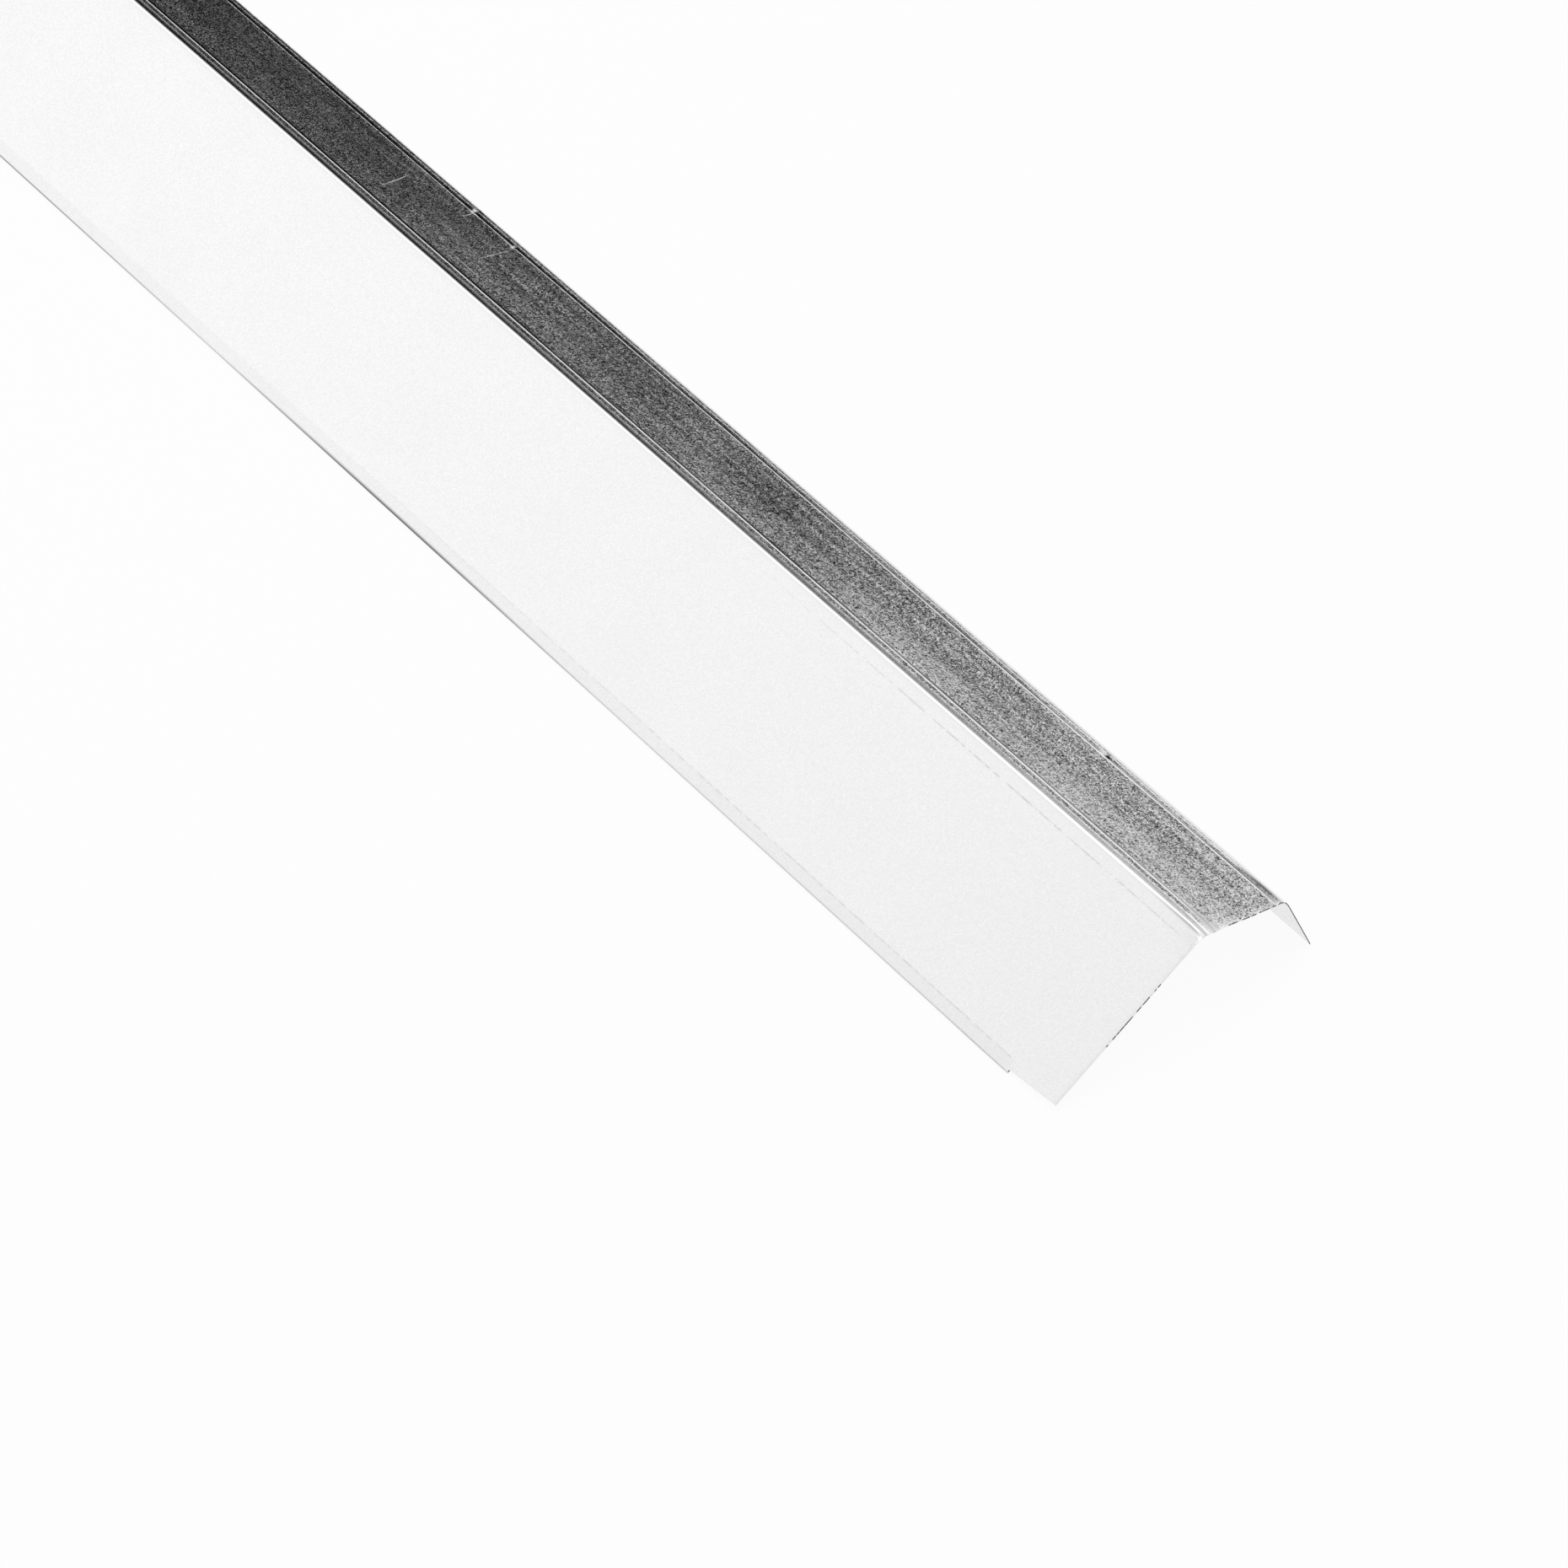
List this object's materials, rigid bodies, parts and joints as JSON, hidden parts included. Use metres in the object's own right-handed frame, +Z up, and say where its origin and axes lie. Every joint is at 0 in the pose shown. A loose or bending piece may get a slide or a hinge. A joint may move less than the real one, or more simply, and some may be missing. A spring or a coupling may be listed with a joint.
{
  "type": "fascia trim",
  "caption": "Long folded galvanized sheet steel fascia trim: broad face with a hemmed lower edge, sloping upper strip and nailing flange, hem notched at one end for lapping.",
  "frame": {"origin": "on the floor, in the middle of the length and of the width of the trim as it lies on its hem and on the free edge of its flange", "axes": "+X along the length towards the end with the notched hem, +Y from the hem of the face in front to the flange behind, +Z up from the floor"},
  "size_m": [3.048, 0.152, 0.0548],
  "materials": {
    "galvanized_steel": "bare hot-dip zinc with a fine dull grain, bright where it mirrors light"
  },
  "bodies": {
    "root": {"fascia_trim": "galvanized_steel"}
  },
  "joints": []
}
